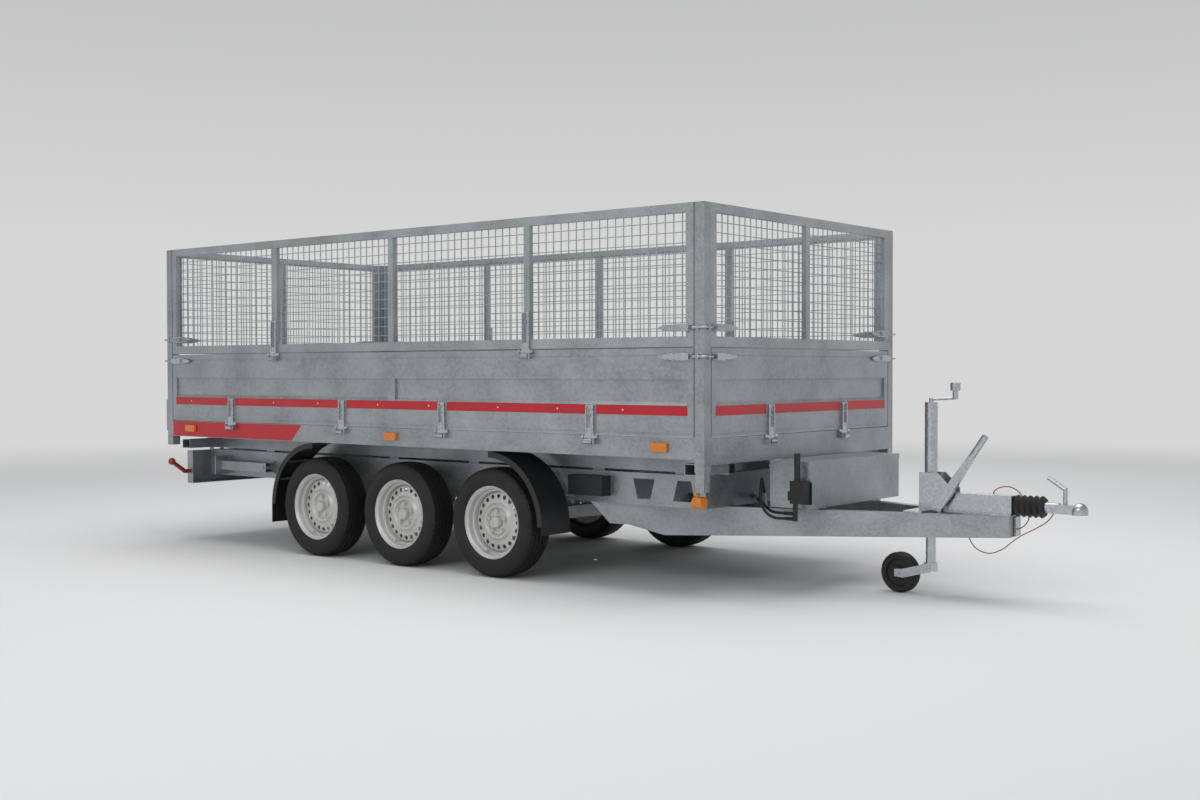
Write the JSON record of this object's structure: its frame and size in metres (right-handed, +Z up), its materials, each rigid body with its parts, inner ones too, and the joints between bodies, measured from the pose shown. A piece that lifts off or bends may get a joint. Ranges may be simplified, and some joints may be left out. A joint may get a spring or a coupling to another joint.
{
  "type": "three-axle tipper trailer",
  "caption": "Tipper trailer: V drawbar with overrun coupling and jockey wheel, road wheels under a rear-tipping bed with steel drop boards and mesh sides.",
  "frame": {"origin": "on the floor under the middle of the whole trailer's box", "axes": "+X forward to the coupling, +Y to the trailer's left, +Z up"},
  "size_m": [5.7502, 1.94, 1.885],
  "materials": {
    "galvanised_steel": "hot-dip galvanised, faint spangle",
    "bright_zinc": "bright zinc plate",
    "ground_steel": "ground and polished",
    "silver_wheel_paint": "silver paint",
    "tyre_rubber": "matte black rubber",
    "black_plastic": "grained black plastic",
    "black_rubber": "matte black rubber",
    "black_paint": "satin black paint",
    "lamp_plastic": "red and amber lenses",
    "amber_lens": "amber lens",
    "red_cable": "red plastic sheath"
  },
  "bodies": {
    "chassis": {"chassis_rails": "galvanised_steel", "crossmembers": "galvanised_steel", "drawbar_beams": "galvanised_steel", "axles": "galvanised_steel", "mudguards": "black_plastic", "rear_lamps": "lamp_plastic", "overrun_housing": "galvanised_steel", "brake_rod": "bright_zinc", "coupling_head": "bright_zinc", "drawtube_bellows": "black_rubber", "jockey_bracket": "galvanised_steel", "jockey_tube": "galvanised_steel", "tool_box": "galvanised_steel", "hand_pump": "black_paint", "chock_boxes": "black_plastic", "pressure_hose": "black_rubber", "return_hose": "black_rubber", "breakaway_cable": "red_cable", "lever_cable": "red_cable"},
    "bed": {"bed_skirts": "galvanised_steel", "bed_beams": "galvanised_steel", "crossbars": "galvanised_steel", "floor_plate": "galvanised_steel", "corner_posts": "galvanised_steel", "marker_lamps": "amber_lens", "end_meshes": "galvanised_steel"},
    "right_board": {"right_board": "galvanised_steel", "right_board_fittings": "bright_zinc"},
    "right_mesh": {"right_mesh": "galvanised_steel"},
    "left_board": {"left_board": "galvanised_steel", "left_board_fittings": "bright_zinc"},
    "left_mesh": {"left_mesh": "galvanised_steel"},
    "front_board": {"front_board": "galvanised_steel", "front_board_fittings": "bright_zinc"},
    "tailgate": {"tailgate": "galvanised_steel", "tailgate_fittings": "bright_zinc"},
    "tool_box_lid": {"tool_box_lid": "galvanised_steel"},
    "handbrake_lever": {"handbrake_lever": "bright_zinc"},
    "jockey_inner_tube": {"jockey_inner_tube": "bright_zinc"},
    "jockey_fork": {"jockey_fork": "bright_zinc"},
    "jockey_wheel": {"jockey_wheel": "tyre_rubber"},
    "ram_barrel": {"ram_barrel": "black_paint"},
    "right_rear_leg": {"right_rear_leg": "galvanised_steel"},
    "left_rear_leg": {"left_rear_leg": "galvanised_steel"},
    "ram_stage_1": {"ram_stage_1": "ground_steel"},
    "ram_stage_2": {"ram_stage_2": "ground_steel"},
    "ram_stage_3": {"ram_stage_3": "ground_steel"},
    "ram_stage_4": {"ram_stage_4": "ground_steel"},
    "rear_right_wheel": {"rear_right_tyre": "tyre_rubber", "rear_right_rim": "silver_wheel_paint"},
    "rear_left_wheel": {"rear_left_tyre": "tyre_rubber", "rear_left_rim": "silver_wheel_paint"},
    "middle_right_wheel": {"middle_right_tyre": "tyre_rubber", "middle_right_rim": "silver_wheel_paint"},
    "middle_left_wheel": {"middle_left_tyre": "tyre_rubber", "middle_left_rim": "silver_wheel_paint"},
    "front_right_wheel": {"front_right_tyre": "tyre_rubber", "front_right_rim": "silver_wheel_paint"},
    "front_left_wheel": {"front_left_tyre": "tyre_rubber", "front_left_rim": "silver_wheel_paint"}
  },
  "joints": [
    {"name": "bed_tip", "type": "hinge", "parent": "chassis", "child": "bed", "pos_m": [-2.77485, 0, 0.632], "axis": [0, -1, 0], "range_deg": [0, 45]},
    {"name": "right_board_drop", "type": "hinge", "parent": "bed", "child": "right_board", "pos_m": [-0.70985, -0.957, 0.748], "axis": [1, 0, 0], "range_deg": [0, 130]},
    {"name": "left_board_drop", "type": "hinge", "parent": "bed", "child": "left_board", "pos_m": [-0.70985, 0.957, 0.748], "axis": [-1, 0, 0], "range_deg": [0, 130]},
    {"name": "right_mesh_fold", "type": "hinge", "parent": "right_board", "child": "right_mesh", "pos_m": [-0.70985, -0.957, 1.173], "axis": [-1, 0, 0], "range_deg": [-180, 0]},
    {"name": "left_mesh_fold", "type": "hinge", "parent": "left_board", "child": "left_mesh", "pos_m": [-0.70985, 0.957, 1.173], "axis": [1, 0, 0], "range_deg": [-180, 0]},
    {"name": "front_board_drop", "type": "hinge", "parent": "bed", "child": "front_board", "pos_m": [1.43415, 0, 0.748], "axis": [0, 1, 0], "range_deg": [0, 90]},
    {"name": "tailgate_swing", "type": "hinge", "parent": "bed", "child": "tailgate", "pos_m": [-2.85385, 0, 1.185], "axis": [0, 1, 0], "range_deg": [0, 90]},
    {"name": "tool_box_lid_hinge", "type": "hinge", "parent": "chassis", "child": "tool_box_lid", "pos_m": [1.46515, 0, 0.647], "axis": [0, 1, 0], "range_deg": [-90, 0]},
    {"name": "handbrake_pull", "type": "hinge", "parent": "chassis", "child": "handbrake_lever", "pos_m": [2.18415, 0, 0.446], "axis": [0, -1, 0], "range_deg": [-40, 30]},
    {"name": "jockey_lift", "type": "slide", "parent": "chassis", "child": "jockey_inner_tube", "axis": [0, 0, 1], "range_m": [0, 0.2]},
    {"name": "jockey_swivel", "type": "hinge", "parent": "jockey_inner_tube", "child": "jockey_fork", "pos_m": [2.10615, 0, 0.1], "axis": [0, 0, 1], "continuous": true},
    {"name": "jockey_wheel_spin", "type": "hinge", "parent": "jockey_fork", "child": "jockey_wheel", "pos_m": [1.94515, 0, 0.1], "axis": [0, 1, 0], "continuous": true},
    {"name": "ram_tilt", "type": "hinge", "parent": "chassis", "child": "ram_barrel", "pos_m": [-0.92485, 0, 0.33], "axis": [0, -1, 0], "range_deg": [0, 21]},
    {"name": "ram_slide_1", "type": "slide", "parent": "ram_barrel", "child": "ram_stage_1", "axis": [0, 0, 1], "range_m": [0, 0.36]},
    {"name": "ram_slide_2", "type": "slide", "parent": "ram_stage_1", "child": "ram_stage_2", "axis": [0, 0, 1], "range_m": [0, 0.36]},
    {"name": "ram_slide_3", "type": "slide", "parent": "ram_stage_2", "child": "ram_stage_3", "axis": [0, 0, 1], "range_m": [0, 0.36]},
    {"name": "ram_slide_4", "type": "slide", "parent": "ram_stage_3", "child": "ram_stage_4", "axis": [0, 0, 1], "range_m": [0, 0.36]},
    {"name": "rear_right_wheel_spin", "type": "hinge", "parent": "chassis", "child": "rear_right_wheel", "pos_m": [-1.40685, 0, 0.293], "axis": [0, 1, 0], "continuous": true},
    {"name": "rear_left_wheel_spin", "type": "hinge", "parent": "chassis", "child": "rear_left_wheel", "pos_m": [-1.40685, 0, 0.293], "axis": [0, 1, 0], "continuous": true},
    {"name": "middle_right_wheel_spin", "type": "hinge", "parent": "chassis", "child": "middle_right_wheel", "pos_m": [-0.69485, 0, 0.293], "axis": [0, 1, 0], "continuous": true},
    {"name": "middle_left_wheel_spin", "type": "hinge", "parent": "chassis", "child": "middle_left_wheel", "pos_m": [-0.69485, 0, 0.293], "axis": [0, 1, 0], "continuous": true},
    {"name": "front_right_wheel_spin", "type": "hinge", "parent": "chassis", "child": "front_right_wheel", "pos_m": [0.01715, 0, 0.293], "axis": [0, 1, 0], "continuous": true},
    {"name": "front_left_wheel_spin", "type": "hinge", "parent": "chassis", "child": "front_left_wheel", "pos_m": [0.01715, 0, 0.293], "axis": [0, 1, 0], "continuous": true},
    {"name": "right_rear_leg_swing", "type": "hinge", "parent": "chassis", "child": "right_rear_leg", "pos_m": [-2.12985, 0, 0.485], "axis": [0, -1, 0], "range_deg": [0, 90]},
    {"name": "left_rear_leg_swing", "type": "hinge", "parent": "chassis", "child": "left_rear_leg", "pos_m": [-2.12985, 0, 0.485], "axis": [0, -1, 0], "range_deg": [0, 90]}
  ],
  "couplings": [
    {"joint": "ram_tilt", "follows": "bed_tip", "ratio": 0.44073},
    {"joint": "ram_slide_1", "follows": "bed_tip", "m_per_rad": 0.44192},
    {"joint": "ram_slide_2", "follows": "bed_tip", "m_per_rad": 0.44192},
    {"joint": "ram_slide_3", "follows": "bed_tip", "m_per_rad": 0.44192},
    {"joint": "ram_slide_4", "follows": "bed_tip", "m_per_rad": 0.44192}
  ]
}
